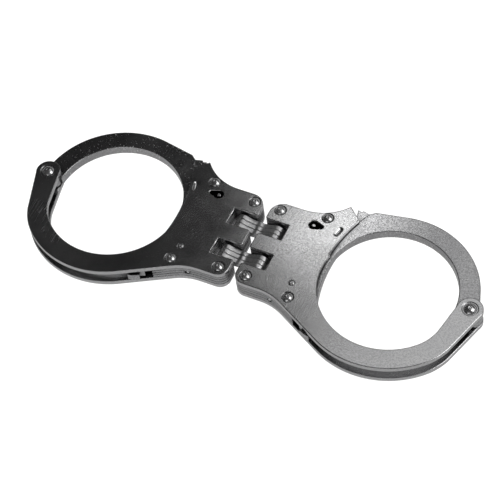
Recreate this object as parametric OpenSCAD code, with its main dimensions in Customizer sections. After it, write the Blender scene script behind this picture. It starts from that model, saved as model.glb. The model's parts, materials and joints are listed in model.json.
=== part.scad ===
// Pair of hinged wrist restraints: two riveted cuffs joined by a double hinge.
// The right cuff is modelled on +X, the left cuff is its mirror image.
// Millimetres. Z = 0 is the flat rear face, the keyholes are on the +Z face.

/* [Cuff layers] */

// thickness of each outer cheek plate
cheek_t = 2.4; // [1.8:0.1:3.0]

// thickness of each of the three inner spacer plates
spacer_t = 1.7; // [1.4:0.05:2.2]

/* [Wrist opening] */

// inner radius of the double bow
bow_in_r = 30.8; // [30.2:0.1:33]

// radial width of the double bow
bow_w = 9.4; // [9:0.1:11]

// radius of the lobe round the bow pivot
lobe_r = 5.65; // [5:0.05:6.6]

// distance from the pivot to the upper wrist edge of the body
wrist_arc_r = 66.3; // [64:0.1:68]

/* [Body outline] */

// half of the gap between the two cuffs
half_gap = 1.7; // [1.7:0.1:3]

// upper edge of the body, from the hinge centre
body_top = 22.9; // [20:0.1:26]

// lower edge of the body, from the hinge centre
body_bottom = 22.7; // [20:0.1:26]

// radius of the upper hinge-side corner
top_corner_r = 6.5; // [2:0.1:8]

// radius of the lower hinge-side corner
low_corner_r = 5; // [2:0.1:8]

// radius of the hollow upper shoulder
shoulder_r = 23.5; // [18:0.5:30]

// radius of the hollow lower shoulder
knee_r = 24; // [6:1:26]

/* [Hinge] */

// distance of each hinge pin from the middle of the pair
pin_x = 8.1; // [8.1:0.05:9]

// radius of the hinge pins
pin_r = 1.5; // [1:0.05:1.8]

// inner edge of each hinge window, from the hinge centre
window_lo = 4.25; // [3:0.05:6]

// outer edge of each hinge window, from the hinge centre
window_hi = 12.7; // [10:0.05:14]

// inner end of each hinge window
window_end = 13.1; // [12:0.05:15]

// radius of the knuckles of the link plates
link_r = 3.3; // [2.5:0.05:4]

// thickness of one link plate
link_t = 2.2; // [1.5:0.05:2.4]

// gap between link plates
link_gap = 0.15; // [0.05:0.01:0.4]

/* [Ratchet bow] */

// thickness of the bow
bow_t = 4.6; // [3.6:0.1:4.9]

// thickness of the toothed band
band_t = 3.3; // [2.4:0.1:4]

// radius of the tooth roots about the pivot
root_r = 70.2; // [69:0.1:70.6]

// radius of the tooth crests about the pivot
crest_r = 72.0; // [71:0.1:72]

// number of teeth on the band
teeth = 24; // [18:1:24]

// tooth pitch about the pivot, degrees
pitch = 2.39; // [2:0.01:2.6]

/* [Lock] */

// angle the pawl is drawn back from full mesh, degrees
pawl_back = 7; // [6.5:0.1:7.4]

// travel of the double lock bar
lock_travel = 1.5; // [0.5:0.1:2]

// radius of the keyhole
keyhole_r = 2.15; // [1.8:0.05:2.6]

// radius of the key post
post_r = 0.85; // [0.6:0.05:1.2]

/* [Rivets] */

// radius of the body rivet shanks
rivet_r = 1.5; // [1:0.05:1.8]

// radius of the body rivet heads
head_r = 2.45; // [2:0.05:3]

// height of the domed heads
head_h = 1.2; // [0.6:0.05:1.5]

// clearance left round fixed shanks
fit = 0.02; // [0.01:0.01:0.05]

// running clearance round turning shanks
run = 0.06; // [0.03:0.01:0.1]

/* [Hidden] */

$fn = 96;
e = 0.01;
gap_z = 3 * spacer_t;
total_z = 2 * cheek_t + gap_z;
mid_z = total_z / 2;
front_z = cheek_t + gap_z;
pivot = [101.5, 0.9];
ring_c = [65.9, -1.6];
ring_out_r = bow_in_r + bow_w;
bow_out_c = [66.2, 0];
bow_out_r = 37.8;
bow_inn_c = [65.5, 0];
bow_inn_r = 29.4;
step_r = 66.8;
band_in_r = 64.7;
channel_r = 72.6;
tooth_start = 153.0;
// inner radius of the toothed band, and where its heel turns in
band_low_r = 66;
heel_r = 68.6;
// centre the pair on Y: highest point is the bow, lowest is the double bow
shift_y = -((bow_out_c.y + bow_out_r) + (ring_c.y - ring_out_r)) / 2;
rivets = [[6.2, 18.8], [6.5, -18.4], [27.4, 22.4], [27.9, -21.8]];
keyhole = [23.0, 16.9];
pawl_pivot = [26.5, -14.5];
pawl_pin_r = 1.2;
pivot_r = 2.0;
horn = [34.4, 31.8];
// tip of the thick part of the bow, where its outer edge turns in
bow_tip = [45, 34.5];
bow_tip_in = [42.9, 32.8];
// where the straight outer edge leaves the bow's circle, degrees
bow_leave_a = 100;
bow_eye_r = 5.4;
// facing direction of the two straight sides of the arm at the pivot, degrees
arm_out_a = -18;
arm_in_a = -11;
// radii of the bends between the straight sides and the ring
in_bend_r = 22;
out_bend_r = 30;
// how far a round reaches past the edges that it joins, so that each crosses the other
past = 0.1;
window_mid = (window_lo + window_hi) / 2;
pin_len = 30.8;

// bit slot of the keyhole: its end radius and how far it reaches
slot_r = 1.0;
slot_x = 3.5;

// shallow seats of the rivet heads, and the countersinks of their rear ends
seat_h = 0.2;
pivot_head_r = 2.8;
pivot_seat_r = 3.6;
pivot_head_h = 1.3;
pin_head_r = 1.45;
pin_head_h = 0.35;
rivet_sink = 0.8;
pivot_sink = 1.0;
pin_sink = 0.6;

// foot of the key post, and the room in which the key's bit turns
post_foot_r = post_r + 0.3;
key_room_r = 5;

// double lock: the push pin runs in its bore and the chamber wall clears it
lock_x = 19.6;
lock_bore_r = 1.2;
lock_pin_r = 1.12;
lock_pin_len = 4.6;
// the thin end of the push pin that shows in the lower edge
nub_r = 0.8;
nub_from = 21;
nub_len = 2.1;
bar_w = 1.9;
pocket_x = lock_x - lock_bore_r;
pocket_w = 16;
pocket_low = -17.5;
pocket_top = 14.2;
bore_top = pocket_low + 1;
bar_low = -16.9;
// room left above the bar when it is pushed home
bar_spare = 3.2;
bar_top = pocket_top - lock_travel - bar_spare;

// thicknesses of the moving lock parts
pawl_t = 4.8;
spring_t = 4.4;
bar_t = 4.6;

function polar(r, a) = [pivot.x + r * cos(a), pivot.y + r * sin(a)];

function on_ring(r, a) = ring_c + r * [cos(a), sin(a)];

// the straight sides of the arm run this far from the pivot, and this far from the ring's centre
arm_half = lobe_r - past;
arm_in_dist = (pivot - ring_c) * [cos(arm_in_a), sin(arm_in_a)] - arm_half;
arm_out_dist = (pivot - ring_c) * [cos(arm_out_a), sin(arm_out_a)] + arm_half;

// direction from ring_c of the centre of a bend of radius r: the bend starts near it on the ring
// circle of radius ring_r and ends on the straight side that faces a, d from ring_c
function bend_dir(a, d, r, ring_r) = a - acos((d - r + past) / (ring_r - r + past));

in_bend_a = bend_dir(arm_in_a, arm_in_dist, in_bend_r, bow_in_r);
in_bend_c = on_ring(bow_in_r - in_bend_r + past, in_bend_a);
out_bend_a = bend_dir(arm_out_a, arm_out_dist, out_bend_r, ring_out_r);
out_bend_c = on_ring(ring_out_r - out_bend_r + past, out_bend_a);

// ---- placing ----

// side +1 is the right cuff, -1 the left one
module cuff(side) {
  translate([0, shift_y, 0])
    if (side > 0) children();
    else mirror([1, 0, 0]) children();
}

module at(p) {
  translate([p.x, p.y]) children();
}

// ---- plane outlines ----

// a wedge of an annulus, less than 180 degrees wide
module sector(c, r1, r2, a1, a2) {
  far = r2 * 3;
  am = (a1 + a2) / 2;
  intersection() {
    at(c)
      difference() {
        circle(r2);
        circle(r1);
      }
    at(c)
      polygon([[0, 0],
               [far * cos(a1), far * sin(a1)],
               [far * cos(am), far * sin(am)],
               [far * cos(a2), far * sin(a2)]]);
  }
}

// what is cut from a square corner at c to leave radius r, the body lying on side s
module corner_cut(c, s, r) {
  translate([c.x, c.y])
    scale([s.x, s.y])
      difference() {
        translate([-1, -1]) square(r + 1);
        translate([r, r]) circle(r);
      }
}

// the plate outline of the lock body, before any opening
module body_outline() {
  x0 = half_gap;
  slope = 0.54;
  knee = 20.4;
  fall = atan(slope);
  run_in = knee_r * tan(fall / 2);
  difference() {
    polygon([[x0, -body_bottom], [knee - run_in, -body_bottom],
             [knee + run_in * cos(fall), -body_bottom - run_in * sin(fall)],
             [46.8, -body_bottom - slope * (46.8 - knee)],
             [60, -20], [60, 5], [41.2, 25.85], horn,
             [16, body_top], [x0, body_top]]);
    at([16, body_top + shoulder_r]) circle(shoulder_r);
    at([knee - run_in, -body_bottom - knee_r]) circle(knee_r);
    corner_cut([x0, body_top], [1, -1], top_corner_r);
    corner_cut([x0, -body_bottom], [1, 1], low_corner_r);
    hinge_windows();
  }
}

module hinge_windows() {
  for (s = [-1, 1]) {
    lo = s > 0 ? window_lo : -window_hi;
    hi = s > 0 ? window_hi : -window_lo;
    translate([0, lo]) square([window_end, hi - lo]);
    corner_cut([half_gap, hi], [1, 1], 1);
    corner_cut([half_gap, lo], [1, -1], 1);
  }
}

module wrist_cut() {
  at(ring_c) circle(bow_in_r);
  intersection() {
    at(pivot) circle(wrist_arc_r);
    translate([30, 5.1]) square([60, 40]);
  }
}

// the straight-sided end of the double bow, from the ring to the pivot lobe
module arm() {
  straight = (pivot - in_bend_c) * [-sin(arm_in_a), cos(arm_in_a)] + 4;
  difference() {
    union() {
      sector(ring_c, bow_in_r, ring_out_r, 290, 340);
      sector(in_bend_c, in_bend_r, in_bend_r + 6, in_bend_a, arm_in_a);
      at(pivot)
        rotate(arm_in_a)
          translate([-arm_half, -straight])
            square([2 * arm_half + 4, straight]);
    }
    at(pivot)
      rotate(arm_out_a)
        translate([arm_half, -40]) square([20, 60]);
    sector(out_bend_c, out_bend_r, out_bend_r + 6, out_bend_a, arm_out_a);
  }
  at(pivot) circle(lobe_r);
}

module cheek_outline() {
  difference() {
    union() {
      body_outline();
      sector(ring_c, bow_in_r, ring_out_r, 215, 295);
    }
    wrist_cut();
  }
  arm();
}

module lock_pocket() {
  // pawl and lock bar chamber
  translate([pocket_x, pocket_low]) square([pocket_w, pocket_top - pocket_low]);
  at(keyhole) circle(key_room_r);
  // foot of the leaf spring
  translate([21.95, -20.05]) square([0.5, 4]);
}

// the plan of the spacer stack, less everything the bow sweeps through
module spacer_outline() {
  difference() {
    body_outline();
    at(pivot) circle(channel_r);
    polygon([polar(channel_r - 1, 192), polar(channel_r, 193),
             [33.3, -29.4], [33.6, -32], [48, -40], [48, -20]]);
    lock_pocket();
    for (p = rivets) at(p) circle(rivet_r + fit);
  }
}

// everything of the body right of the lock pin: the toe
module toe_area() {
  translate([lock_x, -45]) square([30, 45 + bore_top]);
}

// ---- round parts ----

module dome(r, h) {
  big = (r * r + h * h) / (2 * h);
  intersection() {
    translate([0, 0, h - big]) sphere(big);
    cylinder(h = h + 1, r = r + 1);
  }
}

// centred on the cuff's height: the bore of the hinge pin and the pin itself
module pin_bore(len, r) {
  translate([pin_x, len / 2, mid_z])
    rotate([90, 0, 0]) cylinder(h = len, r = r);
}

module lock_bore() {
  translate([lock_x, bore_top, mid_z])
    rotate([90, 0, 0]) cylinder(h = 8, r = lock_bore_r);
}

// hole for a shank that ends flush in a rear countersink
module rear_hole(p, r, sink) {
  translate([p.x, p.y, -1]) cylinder(h = total_z, r = r + fit);
  translate([p.x, p.y, -e])
    cylinder(h = sink + e, r1 = r + sink + fit, r2 = r + fit);
}

// ---- one cuff ----

module front_cheek() {
  color([0.75, 0.76, 0.78])
  difference() {
    translate([0, 0, front_z]) linear_extrude(cheek_t) cheek_outline();
    for (p = rivets) {
      translate([p.x, p.y, 0]) cylinder(h = 20, r = rivet_r + fit);
      head_seat(p, head_r + 0.3);
    }
    translate([pivot.x, pivot.y, 0]) cylinder(h = 20, r = pivot_r + fit);
    head_seat(pivot, pivot_seat_r);
    translate([pawl_pivot.x, pawl_pivot.y, 0]) cylinder(h = 20, r = pawl_pin_r + fit);
    keyhole_cut();
    stop_dimple();
  }
}

// shallow dished seat under a rivet head
module head_seat(p, r) {
  translate([p.x, p.y, total_z - seat_h]) cylinder(h = seat_h + e, r1 = r - 0.2, r2 = r);
}

module keyhole_cut() {
  // a drop: a round hole that narrows along two tangents to the bit slot
  tilt = asin((keyhole_r - slot_r) / slot_x);
  big = keyhole_r * [sin(tilt), cos(tilt)];
  small = [slot_x, 0] + slot_r * [sin(tilt), cos(tilt)];
  translate([keyhole.x, keyhole.y, 0]) {
    cylinder(h = 20, r = keyhole_r);
    translate([slot_x, 0, 0]) cylinder(h = 20, r = slot_r);
    linear_extrude(20) polygon([big, small, [small.x, -small.y], [big.x, -big.y]]);
  }
}

// pressed trough over the bow channel
module stop_dimple() {
  deep = 0.55;
  half = 1.2;
  r = (half * half + deep * deep) / (2 * deep);
  reach = 1.6;
  translate([34.6, 17.3, total_z + r - deep])
    rotate([0, 0, 76]) {
      translate([-reach, 0, 0]) rotate([0, 90, 0]) cylinder(h = 2 * reach, r = r);
      translate([-reach, 0, 0]) sphere(r);
      translate([reach, 0, 0]) sphere(r);
    }
}

module rear_cheek() {
  color([0.72, 0.73, 0.75])
  difference() {
    linear_extrude(cheek_t) cheek_outline();
    for (p = rivets) rear_hole(p, rivet_r, rivet_sink);
    rear_hole(pivot, pivot_r, pivot_sink);
    rear_hole(pawl_pivot, pawl_pin_r, pin_sink);
    rear_hole(keyhole, post_foot_r, pin_sink);
  }
}

module front_spacer() {
  color([0.66, 0.67, 0.69])
  difference() {
    translate([0, 0, cheek_t + 2 * spacer_t]) linear_extrude(spacer_t) spacer_outline();
    pin_bore(pin_len + 0.2, pin_r + fit);
    lock_bore();
  }
}

module middle_spacer() {
  color([0.6, 0.61, 0.63])
  difference() {
    translate([0, 0, cheek_t + spacer_t])
      linear_extrude(spacer_t)
        difference() {
          spacer_outline();
          toe_area();
          translate([0, -window_lo - 0.01]) square([pin_x, 2 * window_lo + 0.02]);
        }
    pin_bore(pin_len + 0.2, pin_r + fit);
    lock_bore();
  }
}

module toe_spacer() {
  color([0.6, 0.61, 0.63])
  difference() {
    translate([0, 0, cheek_t + spacer_t])
      linear_extrude(spacer_t)
        intersection() {
          spacer_outline();
          toe_area();
        }
    lock_bore();
  }
}

module rear_spacer() {
  color([0.66, 0.67, 0.69])
  difference() {
    union() {
      translate([0, 0, cheek_t]) linear_extrude(spacer_t) spacer_outline();
      // rib on the middle tab that cradles the hinge pin from outside
      translate([0, 0, cheek_t])
        linear_extrude(2 * spacer_t)
          intersection() {
            spacer_outline();
            translate([0, -window_lo]) square([pin_x, 2 * window_lo]);
          }
    }
    pin_bore(pin_len + 0.2, pin_r + fit);
    lock_bore();
  }
}

module rivet(p, r, hr, hh, base, sink) {
  translate([p.x, p.y, 0]) {
    cylinder(h = base + e, r = r);
    cylinder(h = sink, r1 = r + sink, r2 = r);
    translate([0, 0, base]) dome(hr, hh);
  }
}

module body_rivets() {
  color([0.8, 0.8, 0.82])
    for (p = rivets) rivet(p, rivet_r, head_r, head_h, total_z - seat_h, rivet_sink);
}

module pivot_rivet() {
  color([0.8, 0.8, 0.82])
    rivet(pivot, pivot_r, pivot_head_r, pivot_head_h, total_z - seat_h, pivot_sink);
}

module pawl_pin() {
  color([0.82, 0.82, 0.84])
    rivet(pawl_pivot, pawl_pin_r, pin_head_r, pin_head_h, total_z, pin_sink);
}

module key_post() {
  color([0.85, 0.85, 0.87])
  translate([keyhole.x, keyhole.y, 0]) {
    cylinder(h = total_z - 0.4, r = post_r);
    cylinder(h = cheek_t + 0.4, r = post_foot_r);
    cylinder(h = pin_sink, r1 = post_foot_r + pin_sink, r2 = post_foot_r);
  }
}

module hinge_pin() {
  color([0.78, 0.79, 0.81]) pin_bore(pin_len, pin_r);
}

// ---- ratchet bow ----

// outline with teeth, grown outwards by g and along the steep flank by f degrees
module tooth_band(g, f) {
  outer = [for (k = [0 : teeth - 1])
             let (a = tooth_start + k * pitch)
             for (q = [[root_r + g, a - f], [crest_r + g, a + 0.08 * pitch - f],
                       [crest_r + g, a + 0.2 * pitch]])
               polar(q[0], q[1])];
  last = tooth_start + teeth * pitch;
  inner = [for (a = [207 : -4 : 155]) polar(band_low_r, a)];
  polygon(concat([polar(band_low_r, 151.2), polar(root_r + g, 152.2)],
                 outer,
                 [polar(root_r + g, last), polar(heel_r, last + 1.15),
                  polar(band_low_r, 208.4)],
                 inner));
}

// the thick part of the bow, inside the tooth step
module bow_outline() {
  leave = bow_out_c + bow_out_r * [cos(bow_leave_a), sin(bow_leave_a)];
  difference() {
    intersection() {
      union() {
        at(bow_out_c) circle(bow_out_r);
        polygon([leave, bow_tip, bow_tip_in, [38, 31.15], [38, 10], [60, 10]]);
      }
      at(pivot) circle(step_r);
      polygon([[30, 7.86], [70, 7.86], [90, 4.6], [95, 0.9], [110, 0.9], [110, 45], [30, 45]]);
    }
    at(bow_inn_c) circle(bow_inn_r);
  }
  sector(pivot, band_in_r, step_r, 173, 208);
  at(pivot) circle(bow_eye_r);
}

module ratchet_bow() {
  color([0.7, 0.71, 0.73])
  difference() {
    union() {
      translate([0, 0, mid_z - bow_t / 2]) linear_extrude(bow_t) bow_outline();
      translate([0, 0, mid_z - band_t / 2]) linear_extrude(band_t) tooth_band(0, 0);
    }
    translate([pivot.x, pivot.y, 0]) cylinder(h = 20, r = pivot_r + run);
  }
}

// ---- pawl and double lock ----

// drawn in full mesh, then turned back clear of the teeth
module pawl() {
  color([0.5, 0.51, 0.54])
  translate([pawl_pivot.x, pawl_pivot.y, mid_z - pawl_t / 2])
    rotate(pawl_back)
      translate([-pawl_pivot.x, -pawl_pivot.y, 0])
        linear_extrude(pawl_t)
          difference() {
            union() {
              at(pawl_pivot) circle(2.6);
              polygon([polar(73.9, 191.4), polar(72.8, 189), polar(72.8, 179.24),
                       polar(70.35, 179.24), polar(70.35, 172.75), polar(73.2, 172.5),
                       polar(73.6, 170.9), polar(76.4, 170.6), polar(77.3, 174),
                       polar(77.4, 184), polar(78.9, 190.6)]);
            }
            tooth_band(0.1, 0.06);
            at(pawl_pivot) circle(pawl_pin_r + run);
          }
}

module pawl_spring() {
  color([0.35, 0.36, 0.4])
  translate([0, 0, mid_z - spring_t / 2])
    linear_extrude(spring_t)
      polygon([[22.0, -20], [22.4, -20], [22.4, -15.2], [21.9, -9],
               [22.15, -4], [22.45, -2.2], [22.1, -2.0], [21.75, -4],
               [21.5, -9], [22.0, -15.2]]);
}

module lock_bar() {
  color([0.55, 0.56, 0.58])
  translate([0, 0, mid_z - bar_t / 2])
    linear_extrude(bar_t) {
      translate([lock_x - bar_w / 2, bar_low]) square([bar_w, bar_top - bar_low]);
      // blocking nose
      polygon([[lock_x, 4.6], [21.2, 4.9], [21.2, 7.2], [lock_x, 7.8]]);
    }
}

module lock_pin() {
  color([0.85, 0.85, 0.87])
  translate([lock_x, 0, mid_z])
    rotate([90, 0, 0]) {
      translate([0, 0, 0.02 - bar_low]) cylinder(h = lock_pin_len, r = lock_pin_r);
      translate([0, 0, nub_from]) cylinder(h = nub_len, r = nub_r);
    }
}

// ---- hinge links ----

// a dog bone: two knuckles joined by hollow flanks, with a small swelling in the middle
module link_plate(y) {
  waist = 1.5;
  // radius of the flanks that meet both knuckles smoothly
  hollow = (pin_x * pin_x + waist * waist - link_r * link_r) / (2 * (link_r - waist));
  lean = [pin_x, waist + hollow] / (hollow + link_r);
  touch = [pin_x - link_r * lean.x, link_r * lean.y];
  translate([0, y, mid_z])
    rotate([90, 0, 0])
      linear_extrude(link_t)
        difference() {
          union() {
            difference() {
              square([2 * touch.x, 2 * touch.y], center = true);
              for (s = [-1, 1]) translate([0, s * (waist + hollow)]) circle(hollow);
            }
            for (s = [-1, 1]) translate([s * pin_x, 0]) circle(link_r);
            circle(waist + 0.4);
          }
          for (s = [-1, 1]) translate([s * pin_x, 0]) circle(pin_r + run);
        }
}

module link_stack(c) {
  step = link_t + link_gap;
  color([0.88, 0.88, 0.9])
    translate([0, shift_y, 0])
      for (k = [-1 : 1]) link_plate(c + k * step + link_t / 2);
}

module upper_link_plates() {
  link_stack(window_mid);
}

module lower_link_plates() {
  link_stack(-window_mid);
}

// ---- nodes ----

module left_front_cheek() { cuff(-1) front_cheek(); }
module left_rear_cheek() { cuff(-1) rear_cheek(); }
module left_front_spacer() { cuff(-1) front_spacer(); }
module left_middle_spacer() { cuff(-1) middle_spacer(); }
module left_toe_spacer() { cuff(-1) toe_spacer(); }
module left_rear_spacer() { cuff(-1) rear_spacer(); }
module left_ratchet_bow() { cuff(-1) ratchet_bow(); }
module left_pivot_rivet() { cuff(-1) pivot_rivet(); }
module left_body_rivets() { cuff(-1) body_rivets(); }
module left_pawl() { cuff(-1) pawl(); }
module left_pawl_pin() { cuff(-1) pawl_pin(); }
module left_pawl_spring() { cuff(-1) pawl_spring(); }
module left_lock_bar() { cuff(-1) lock_bar(); }
module left_lock_pin() { cuff(-1) lock_pin(); }
module left_key_post() { cuff(-1) key_post(); }
module left_hinge_pin() { cuff(-1) hinge_pin(); }
module right_front_cheek() { cuff(1) front_cheek(); }
module right_rear_cheek() { cuff(1) rear_cheek(); }
module right_front_spacer() { cuff(1) front_spacer(); }
module right_middle_spacer() { cuff(1) middle_spacer(); }
module right_toe_spacer() { cuff(1) toe_spacer(); }
module right_rear_spacer() { cuff(1) rear_spacer(); }
module right_ratchet_bow() { cuff(1) ratchet_bow(); }
module right_pivot_rivet() { cuff(1) pivot_rivet(); }
module right_body_rivets() { cuff(1) body_rivets(); }
module right_pawl() { cuff(1) pawl(); }
module right_pawl_pin() { cuff(1) pawl_pin(); }
module right_pawl_spring() { cuff(1) pawl_spring(); }
module right_lock_bar() { cuff(1) lock_bar(); }
module right_lock_pin() { cuff(1) lock_pin(); }
module right_key_post() { cuff(1) key_post(); }
module right_hinge_pin() { cuff(1) hinge_pin(); }

left_front_cheek();
left_rear_cheek();
left_front_spacer();
left_middle_spacer();
left_toe_spacer();
left_rear_spacer();
left_ratchet_bow();
left_pivot_rivet();
left_body_rivets();
left_pawl();
left_pawl_pin();
left_pawl_spring();
left_lock_bar();
left_lock_pin();
left_key_post();
left_hinge_pin();
right_front_cheek();
right_rear_cheek();
right_front_spacer();
right_middle_spacer();
right_toe_spacer();
right_rear_spacer();
right_ratchet_bow();
right_pivot_rivet();
right_body_rivets();
right_pawl();
right_pawl_pin();
right_pawl_spring();
right_lock_bar();
right_lock_pin();
right_key_post();
right_hinge_pin();
upper_link_plates();
lower_link_plates();
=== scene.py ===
"""Looks of the hinged handcuffs: rolled plate edges, plated and worn steel, studio light and camera."""

import json
import math

import bmesh
import bpy
from mathutils import Matrix, Vector

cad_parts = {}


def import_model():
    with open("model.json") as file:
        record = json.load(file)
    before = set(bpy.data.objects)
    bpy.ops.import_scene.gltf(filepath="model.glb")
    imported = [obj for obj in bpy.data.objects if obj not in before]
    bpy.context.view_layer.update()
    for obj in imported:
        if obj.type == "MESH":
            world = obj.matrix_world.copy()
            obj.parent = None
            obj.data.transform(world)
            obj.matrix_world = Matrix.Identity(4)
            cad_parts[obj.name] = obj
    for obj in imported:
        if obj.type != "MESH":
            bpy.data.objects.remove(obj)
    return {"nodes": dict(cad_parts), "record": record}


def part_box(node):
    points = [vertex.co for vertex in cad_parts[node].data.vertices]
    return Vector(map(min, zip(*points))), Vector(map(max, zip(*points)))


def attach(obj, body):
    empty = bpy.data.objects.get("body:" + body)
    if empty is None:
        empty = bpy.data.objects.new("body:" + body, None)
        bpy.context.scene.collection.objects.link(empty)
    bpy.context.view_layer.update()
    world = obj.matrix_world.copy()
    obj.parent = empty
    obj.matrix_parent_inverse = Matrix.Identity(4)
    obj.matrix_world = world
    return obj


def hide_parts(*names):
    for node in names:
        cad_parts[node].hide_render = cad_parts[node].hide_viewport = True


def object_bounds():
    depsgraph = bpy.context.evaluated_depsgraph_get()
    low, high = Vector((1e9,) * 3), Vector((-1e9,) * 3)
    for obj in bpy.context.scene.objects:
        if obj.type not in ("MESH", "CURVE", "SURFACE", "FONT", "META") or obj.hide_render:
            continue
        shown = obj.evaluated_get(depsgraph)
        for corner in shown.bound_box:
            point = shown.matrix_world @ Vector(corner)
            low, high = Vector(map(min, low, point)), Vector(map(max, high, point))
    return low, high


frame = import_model()
cad_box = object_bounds()
MM = 0.001

# ---- node tree helpers ----


class Tree:
    """A short way to write a material's nodes."""

    def __init__(self, owner):
        owner.use_nodes = True
        self.tree = owner.node_tree
        self.tree.nodes.clear()

    def add(self, kind, inputs=None, **props):
        node = self.tree.nodes.new("ShaderNode" + kind)
        for key, value in props.items():
            setattr(node, key, value)
        for key, value in (inputs or {}).items():
            if isinstance(value, bpy.types.NodeSocket):
                self.tree.links.new(value, node.inputs[key])
            else:
                node.inputs[key].default_value = value
        return node

    def math(self, operation, a, b=0.0, clamp=False):
        return self.add("Math", {0: a, 1: b}, operation=operation, use_clamp=clamp).outputs[0]

    def span(self, value, low, high, to_low=0.0, to_high=1.0, smooth=False):
        """Maps low..high to to_low..to_high and holds the ends."""
        kind = "SMOOTHSTEP" if smooth else "LINEAR"
        keys = {0: value, 1: low, 2: high, 3: to_low, 4: to_high}
        return self.add("MapRange", keys, interpolation_type=kind).outputs[0]

    def mix(self, factor, a, b):
        # inputs 6 and 7 are the mix node's colours
        return self.add("Mix", {0: factor, 6: a, 7: b}, data_type="RGBA").outputs[2]

    def noise(self, vector, scale, detail, rough=0.5):
        keys = {"Vector": vector, "Scale": scale, "Detail": detail, "Roughness": rough}
        return self.add("TexNoise", keys).outputs["Fac"]

    def occlusion(self, reach):
        """1 in the open, less where other surfaces stand within reach."""
        return self.add("AmbientOcclusion", {"Distance": reach}, samples=8).outputs["AO"]

    def surface(self, shader):
        out = self.add("OutputWorld" if shader.type == "BACKGROUND" else "OutputMaterial")
        self.tree.links.new(shader.outputs[0], out.inputs["Surface"])


def scratches(t, vector, angle, scale, thin):
    """Thin lines along one direction, in patches: 1 on a line and 0 elsewhere."""
    keys = {"Vector": vector, "Rotation": (0, 0, angle), "Scale": (1, 0.03, 1)}
    lines = t.noise(t.add("Mapping", keys).outputs[0], scale, 1.0)
    patches = t.noise(vector, scale * 0.06, 2.0)
    near = t.math("ABSOLUTE", t.math("SUBTRACT", lines, 0.5))
    line = t.span(near, 0.0, thin, 1.0, 0.0)
    return t.math("MULTIPLY", line, t.span(patches, 0.58, 0.68))


# noise scales, in cells per metre
CLOUD, SAND, DUST, SPOTS, CROWDS, BRUSH = 60.0, 1200.0, 5200.0, 1150.0, 90.0, 3200.0
WORN_EDGE = 0.45 * MM
# reaches of the painted shade: seams and corners, then the walls of deep recesses
SEAM_SHADE_REACH = 0.9 * MM
RECESS_REACH = 6 * MM
BUMP_HEIGHT = 0.006 * MM
# near-black colour painted where seams and recesses are shaded
PAINTED_SHADE_COLOUR = (0.012, 0.012, 0.013, 1)
WHITE = (1, 1, 1, 1)


def worn_edges(t, soft, wear):
    """Rises to wear along edges, where the softened normal leaves the true one."""
    flat = t.add("NewGeometry").outputs["Normal"]
    agree = t.add("VectorMath", {0: soft, 1: flat}, operation="DOT_PRODUCT").outputs["Value"]
    return t.span(agree, 0.995, 0.9, 0.0, wear)


def painted_crevice_shade(t, seam_shade, recess):
    """Painted shade: 1 in the open, less in seams and corners and on the walls of deep recesses, by ambient
    occlusion.
    """
    seams = t.span(t.occlusion(SEAM_SHADE_REACH), 0.35, 0.9, 1 - seam_shade, 1.0)
    recesses = t.span(t.occlusion(RECESS_REACH), 0.3, 0.85, 1 - recess, 1.0)
    return t.math("MULTIPLY", seams, recesses)


def metal(name, base, tint, rough, grain, wear, flecks, brushed=0.0, seam_shade=0.95, recess=0.88):
    """Plated or plain steel: cloudy sheen, sandy grain, matt flecks, scratches, painted shade in seams and
    recesses, and worn edges.
    """
    material = bpy.data.materials.new(name)
    t = Tree(material)
    place = t.add("TexCoord").outputs["Object"]
    soft = t.add("Bevel", {"Radius": WORN_EDGE}, samples=6).outputs[0]
    cloud = t.noise(place, CLOUD, 4.0, 0.6)
    sand = t.noise(place, SAND, 3.0, 0.75)
    dust = t.noise(place, DUST, 2.0, 0.6)
    spots = t.noise(place, SPOTS, 3.0, 0.75)
    crowd = t.noise(place, CROWDS, 2.0)
    fleck = t.math("MULTIPLY", t.span(spots, 0.63, 0.69), t.span(crowd, 0.38, 0.62, 0.25, 1.0))
    fleck = t.math("MULTIPLY", fleck, flecks)
    line_a = scratches(t, place, 0.6, 800.0, 0.010)
    line_b = scratches(t, place, 2.2, 620.0, 0.008)
    lines = t.math("MAXIMUM", line_a, line_b)
    # brushing marks run along X
    along = t.add("Mapping", {"Vector": place, "Scale": (0.03, 1, 1)}).outputs[0]
    brush = t.noise(along, BRUSH, 2.0, 0.6)

    dark = [c * 0.55 for c in base] + [1]
    bright = [min(1.0, c * 1.25) for c in base] + [1]
    colour = t.mix(t.span(cloud, 0.3, 0.7), [*base, 1], [*tint, 1])
    colour = t.mix(t.span(sand, 0.38, 0.66, 0.0, grain), colour, dark)
    colour = t.mix(t.span(brush, 0.4, 0.6, 0.0, brushed), colour, dark)
    colour = t.mix(worn_edges(t, soft, wear), colour, bright)
    colour = t.mix(fleck, colour, WHITE)
    # painted shade: the colour darkens towards near black in seams, corners and deep recesses
    colour = t.mix(painted_crevice_shade(t, seam_shade, recess), PAINTED_SHADE_COLOUR, colour)

    roughness = t.span(cloud, 0.3, 0.7, rough * 0.8, rough * 1.3)
    roughness = t.math("ADD", roughness, t.span(sand, 0.3, 0.7, 0.0, 0.1 * grain))
    roughness = t.math("ADD", roughness, t.math("MULTIPLY", lines, 0.4 * wear))
    roughness = t.math("ADD", roughness, t.math("MULTIPLY", fleck, 0.5), clamp=True)

    height = t.math("MULTIPLY", dust, grain * 0.45)
    height = t.math("ADD", height, t.math("MULTIPLY", brush, brushed))
    height = t.math("SUBTRACT", height, t.math("MULTIPLY", fleck, 0.3))
    keys = {"Strength": 0.4, "Distance": BUMP_HEIGHT, "Height": height, "Normal": soft}
    bump = t.add("Bump", keys).outputs[0]
    keys = {"Base Color": colour, "Metallic": 1.0, "Roughness": roughness, "Normal": bump}
    t.surface(t.add("BsdfPrincipled", keys))
    return material


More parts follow.
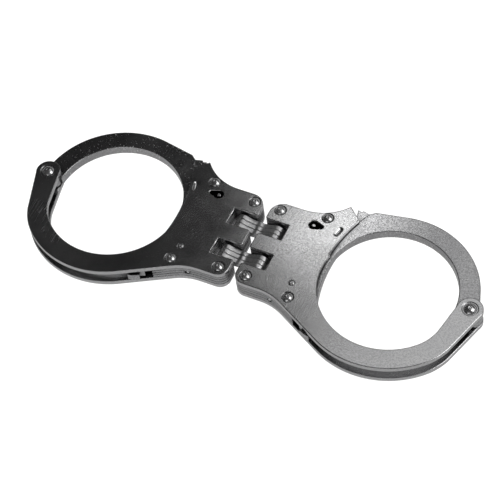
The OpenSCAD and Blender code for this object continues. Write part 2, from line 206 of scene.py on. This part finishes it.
FINISHES = {
    "plated_plate": {
        "base": (0.76, 0.76, 0.77), "tint": (0.84, 0.84, 0.84), "rough": 0.12,
        "grain": 0.48, "wear": 0.5, "flecks": 0.2,
    },
    "plated_bow": {
        "base": (0.58, 0.58, 0.59), "tint": (0.72, 0.72, 0.72), "rough": 0.12,
        "grain": 0.75, "wear": 0.4, "flecks": 1.0,
    },
    "spacer_steel": {
        "base": (0.58, 0.58, 0.59), "tint": (0.7, 0.7, 0.71), "rough": 0.25,
        "grain": 0.6, "wear": 0.5, "flecks": 0.4, "brushed": 0.4,
    },
    "rivet_steel": {
        "base": (0.9, 0.9, 0.91), "tint": (0.95, 0.95, 0.95), "rough": 0.2,
        "grain": 0.25, "wear": 0.4, "flecks": 0.2,
    },
    "lock_steel": {
        "base": (0.5, 0.5, 0.52), "tint": (0.6, 0.6, 0.61), "rough": 0.25,
        "grain": 0.6, "wear": 0.4, "flecks": 0.5, "brushed": 0.3,
    },
    "spring_steel": {
        "base": (0.2, 0.21, 0.25), "tint": (0.28, 0.28, 0.31), "rough": 0.25,
        "grain": 0.4, "wear": 0.3, "flecks": 0.3, "brushed": 0.3,
    },
    "link_steel": {
        "base": (0.9, 0.9, 0.91), "tint": (0.95, 0.95, 0.95), "rough": 0.28,
        # the links get little painted shade in seams and none in recesses
        "grain": 0.35, "wear": 0.5, "flecks": 0.2, "brushed": 0.6, "seam_shade": 0.4, "recess": 0.0,
    },
}
MATERIALS = {name: metal(name, **finish) for name, finish in FINISHES.items()}

# ---- pieces ----

FRONT_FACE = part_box("right_front_cheek")[1].z
# corners closer than this are one corner
WELD = 0.002 * MM
# how squarely a flat face looks along the axis
SQUARE = 0.9999
# a slanted or round face at least this large is shaded flat too
LARGE_FACE = 8 * MM * MM
SHARP_EDGE = math.radians(40)


def new_object(name, mesh):
    """An object of the scene made from a bmesh, which it frees."""
    data = bpy.data.meshes.new(name)
    mesh.to_mesh(data)
    mesh.free()
    piece = bpy.data.objects.new(name, data)
    bpy.context.scene.collection.objects.link(piece)
    return piece


def open_region(faces, axis):
    """The faces and all that join them without a square wall between: rivet seats and the pressed trough."""
    region = set(faces)
    todo = list(faces)
    while todo:
        for edge in todo.pop().edges:
            for face in edge.link_faces:
                if face not in region and abs(face.normal.dot(axis)) > 0.02:
                    region.add(face)
                    todo.append(face)
    return sorted(region, key=lambda face: face.index)


def roll_rim(mesh, faces, level, width, drop):
    """Inset a region and lower its rim where that lies at the flat face's level, so the edge rolls over."""
    axis = drop.normalized()
    inside = set(faces)
    inset = {"faces": faces, "use_even_offset": True}
    outer_strip = bmesh.ops.inset_region(mesh, thickness=0.3 * width, **inset)["faces"]
    inner_strip = bmesh.ops.inset_region(mesh, thickness=0.7 * width, **inset)["faces"]
    inside.update(outer_strip, inner_strip)
    strip_verts = {vert for face in outer_strip for vert in face.verts}
    rim = {vert for vert in strip_verts if any(face not in inside for face in vert.link_faces)}
    lowered = {vert for vert in rim if abs(vert.co.dot(axis) - level) < 0.02 * MM}
    for vert in lowered:
        vert.co += drop * width
    for vert in strip_verts - rim:
        if any(edge.other_vert(vert) in lowered for edge in vert.link_edges):
            vert.co += drop * width * 0.3
    for face in (*outer_strip, *inner_strip):
        face.smooth = True


def rounded_copy(node, width, axis):
    """A copy of a CAD node whose flat faces across the axis have edges rolled over by width millimetres."""
    mesh = bmesh.new()
    mesh.from_mesh(frame["nodes"][node].data)
    bmesh.ops.remove_doubles(mesh, verts=mesh.verts, dist=WELD)
    bmesh.ops.dissolve_limit(mesh, angle_limit=math.radians(0.5), verts=mesh.verts, edges=mesh.edges)
    for edge in mesh.edges:
        edge.smooth = edge.calc_face_angle(0.0) < SHARP_EDGE
    for face in mesh.faces:
        face.smooth = abs(face.normal.z) < SQUARE and face.calc_area() < LARGE_FACE
    for side in (-1, 1):
        levels = {}
        for face in mesh.faces:
            if face.normal.dot(axis) * side > SQUARE:
                levels.setdefault(round(face.calc_center_median().dot(axis) / MM, 2), []).append(face)
        # a stack of links has a flat face for each link, a plate has one
        chosen = levels if axis.y else [max(levels, key=lambda level: level * side)]
        for level in chosen:
            faces = levels[level]
            if node.endswith("front_cheek") and side > 0:
                mesh.faces.index_update()
                faces = open_region(faces, axis)
            # roll_rim measures the level along its drop, which points into the plate
            roll_rim(mesh, faces, level * MM * -side, width * MM, -side * axis)
    return new_object(node + "_finished", mesh)


def turned(mesh, centre, profile, sides=64):
    """Adds a round piece to the mesh: the profile (radius, height) in millimetres turned about a Z axis."""
    rings = []
    for radius, height in profile:
        ring = []
        for k in range(sides if radius else 1):
            turn = 2 * math.pi * k / sides
            x = centre[0] + radius * MM * math.cos(turn)
            y = centre[1] + radius * MM * math.sin(turn)
            ring.append(mesh.verts.new((x, y, height * MM)))
        rings.append(ring)
    for low, high in zip(rings, rings[1:]):
        for k in range(sides):
            corners = [low[k % len(low)], low[(k + 1) % len(low)]]
            corners += [high[(k + 1) % len(high)], high[k % len(high)]]
            # a ring of one corner gives triangles
            corners = list(dict.fromkeys(corners))
            if len(corners) > 2:
                mesh.faces.new(corners).smooth = True


def rivet_profile(shank, head, rise, seat, rear, peen):
    """Flush rear end, shank, and a domed head with a small peened dimple, from the rear to the top."""
    points = [(0, 0.1), (rear * 0.6, 0.1), (rear - 0.25, 0.0), (rear - 0.05, 0.06), (shank, rear - shank)]
    points += [(shank, seat - 0.02), (head - 0.12, seat), (head, seat + 0.12)]
    steps = 14
    for k in range(1, steps):
        r = head * math.cos(math.pi / 2 * k / steps)
        h = seat + rise * (1 - (r / head) ** 2.8)
        if r > peen and h > seat + 0.14:
            points.append((r, h))
    top = seat + rise
    points += [(peen, top - 0.03), (peen * 0.8, top - 0.09), (peen * 0.4, top - 0.13), (0, top - 0.14)]
    return points


def round_centres(node):
    """The plan centres of a node's separate round solids, from its own mesh."""
    mesh = bmesh.new()
    mesh.from_mesh(frame["nodes"][node].data)
    bmesh.ops.remove_doubles(mesh, verts=mesh.verts, dist=WELD)
    left = set(mesh.verts)
    centres = []
    while left:
        todo = [left.pop()]
        island = []
        while todo:
            vert = todo.pop()
            island.append(vert.co.copy())
            for edge in vert.link_edges:
                other = edge.other_vert(vert)
                if other in left:
                    left.remove(other)
                    todo.append(other)
        xs, ys = zip(*[(c.x, c.y) for c in island])
        centres.append(((min(xs) + max(xs)) / 2, (min(ys) + max(ys)) / 2))
    mesh.free()
    return sorted(centres)


# shank radius, head radius, seat below the front face, rear end radius, dimple radius, in millimetres
RIVETS = {
    "body_rivets": (1.5, 2.45, 0.2, 2.3, 0.55),
    "pivot_rivet": (2.0, 2.8, 0.2, 3.0, 0.7),
    "pawl_pin": (1.2, 1.45, 0.0, 1.8, 0.4),
}


def rivet_piece(node, sizes):
    """All the rivets of a node, each as high as the node's box."""
    shank, head, sunk, rear, peen = sizes
    seat = FRONT_FACE / MM - sunk
    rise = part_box(node)[1].z / MM - seat
    profile = rivet_profile(shank, head, rise, seat, rear, peen)
    mesh = bmesh.new()
    for centre in round_centres(node):
        turned(mesh, centre, profile)
    bmesh.ops.recalc_face_normals(mesh, faces=mesh.faces)
    return new_object(node + "_finished", mesh)


# edge rolls in millimetres for the pieces that show
EDGE_ROLLS = {
    "front_cheek": 0.28,
    "rear_cheek": 0.28,
    "front_spacer": 0.4,
    "middle_spacer": 0.4,
    "rear_spacer": 0.4,
    "toe_spacer": 0.4,
    "ratchet_bow": 0.3,
    "link_plates": 0.22,
    "pawl": 0.1,
    "lock_bar": 0.1,
    "key_post": 0.15,
    "lock_pin": 0.12,
}
# pieces whose flat faces look along Y; those of the others look along Z
ACROSS_Y = ("link_plates", "lock_pin")

SLOTS = {part["node"]: part["material_slot"] for part in frame["record"]["subparts"]}
BODIES = {
    node: body for body, nodes in frame["record"]["behaviour"]["bodies"].items() for node in nodes
}


def finish_node(node):
    """Give a node its finish, and a turned shape or rolled edges where it shows."""
    slot = SLOTS[node]
    # the name without left, right, upper or lower
    kind = node.split("_", 1)[1]
    if kind in RIVETS:
        piece = rivet_piece(node, RIVETS[kind])
    elif kind in EDGE_ROLLS:
        axis = Vector((0, 1, 0)) if kind in ACROSS_Y else Vector((0, 0, 1))
        piece = rounded_copy(node, EDGE_ROLLS[kind], axis)
    else:
        cad = frame["nodes"][node]
        cad.data.materials.clear()
        cad.data.materials.append(MATERIALS[slot])
        return
    piece.data.materials.append(MATERIALS[slot])
    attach(piece, BODIES[node])
    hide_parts(node)


for node_name in sorted(frame["nodes"]):
    finish_node(node_name)

# ---- studio ----

LOW, HIGH = (Vector(corner) for corner in cad_box)
MIDDLE = (LOW + HIGH) / 2
# the pair's length is the studio's yardstick
LENGTH = HIGH.x - LOW.x


def panel(name, centre, size, material, facing=(0, 0, 1)):
    """A flat sheet with one UV square, level unless it is given a way to face."""
    width, depth = size
    turn = Vector(facing).to_track_quat("Z", "Y").to_matrix().to_4x4()
    mesh = bpy.data.meshes.new(name)
    corners = [(x * width / 2, y * depth / 2, 0) for x, y in ((-1, -1), (1, -1), (1, 1), (-1, 1))]
    mesh.from_pydata(corners, [], [(0, 1, 2, 3)])
    layer = mesh.uv_layers.new()
    for corner, uv in zip(layer.data, ((0, 0), (1, 0), (1, 1), (0, 1))):
        corner.uv = uv
    mesh.transform(Matrix.Translation(centre) @ turn)
    mesh.materials.append(material)
    sheet = bpy.data.objects.new(name, mesh)
    bpy.context.scene.collection.objects.link(sheet)
    return sheet


def floor():
    """Pale floor, which looks darker in reflections than to the camera."""
    material = bpy.data.materials.new("floor")
    t = Tree(material)
    glossy = t.add("LightPath").outputs["Is Glossy Ray"]
    colour = t.mix(glossy, (0.93, 0.93, 0.93, 1), (0.3, 0.3, 0.3, 1))
    t.surface(t.add("BsdfDiffuse", {"Color": colour}))
    # half a pair length down, so a cuff folded down on its hinge stays above it
    under = Vector((MIDDLE.x, MIDDLE.y, LOW.z - LENGTH / 2))
    panel("floor", under, (40 * LENGTH, 40 * LENGTH), material)


# place from the pair's middle and size, in pair lengths, then strength, edge fade and whether it is aimed
# at the pair; the others are level
SOFTBOXES = {
    "key_light": ((-0.78, 2.08, 2.9), (0.74, 1.1), 2.7, 0.45, False),
    "fill_light": ((0.38, 1.8, 2.9), (2.6, 1.8), 0.55, 0.16, False),
    "right_light": ((1.9, 0.5, 2.3), (2.4, 2.6), 2.6, 0.3, True),
    "front_light": ((0.4, -2.4, 1.3), (2.6, 0.9), 1.2, 0.3, True),
}


def softbox(name, place, size, strength, fade, aimed):
    """A soft panel light with faded edges, which the camera doesn't see."""
    material = bpy.data.materials.new(name)
    t = Tree(material)
    spot = t.add("SeparateXYZ", {0: t.add("UVMap").outputs["UV"]})
    glow = strength
    for axis in (0, 1):
        inward = t.math("PINGPONG", spot.outputs[axis], 0.5)
        glow = t.math("MULTIPLY", t.span(inward, 0.0, fade, smooth=True), glow)
    t.surface(t.add("Emission", {"Color": WHITE, "Strength": glow}))
    offset = Vector(place)
    facing = -offset if aimed else (0, 0, 1)
    width, depth = size
    sheet = panel(name, MIDDLE + offset * LENGTH, (width * LENGTH, depth * LENGTH), material, facing)
    sheet.visible_camera = False


def world():
    """White to the camera and floor. To reflections, a dim room, brighter at the horizon and on the right."""
    room = bpy.data.worlds.new("studio")
    bpy.context.scene.world = room
    t = Tree(room)
    way = t.add("SeparateXYZ", {0: t.add("TexCoord").outputs["Generated"]})
    seen = t.span(way.outputs[2], 0.05, 0.5, 0.16, 0.028, smooth=True)
    seen = t.math("MULTIPLY", seen, t.span(way.outputs[0], -0.5, 0.6, 0.25, 1.8, smooth=True))
    glossy = t.add("LightPath").outputs["Is Glossy Ray"]
    level = t.mix(glossy, (1.5, 1.5, 1.5, 1), seen)
    t.surface(t.add("Background", {"Color": WHITE, "Strength": level}))


# the camera's way round, height, roll and distance in metres
AZIMUTH = math.radians(32)
ELEVATION = math.radians(54.5)
TILT = math.radians(8.7)
DISTANCE = 0.77
# it looks a little to the right of the middle and in front of it
AIM = MIDDLE + Vector((0.8, -0.5, -0.6)) * MM


def camera():
    data = bpy.data.cameras.new("view")
    data.lens = 127
    data.sensor_width = 36
    cam = bpy.data.objects.new("view", data)
    turn = Matrix.Rotation(AZIMUTH, 4, "Z") @ Matrix.Rotation(math.pi / 2 - ELEVATION, 4, "X")
    turn = turn @ Matrix.Rotation(-TILT, 4, "Z")
    cam.matrix_world = Matrix.Translation(AIM) @ turn @ Matrix.Translation((0, 0, DISTANCE))
    bpy.context.scene.collection.objects.link(cam)
    bpy.context.scene.camera = cam


floor()
for light_name, settings in SOFTBOXES.items():
    softbox(light_name, *settings)
world()
camera()
bpy.context.scene.view_settings.view_transform = "Standard"
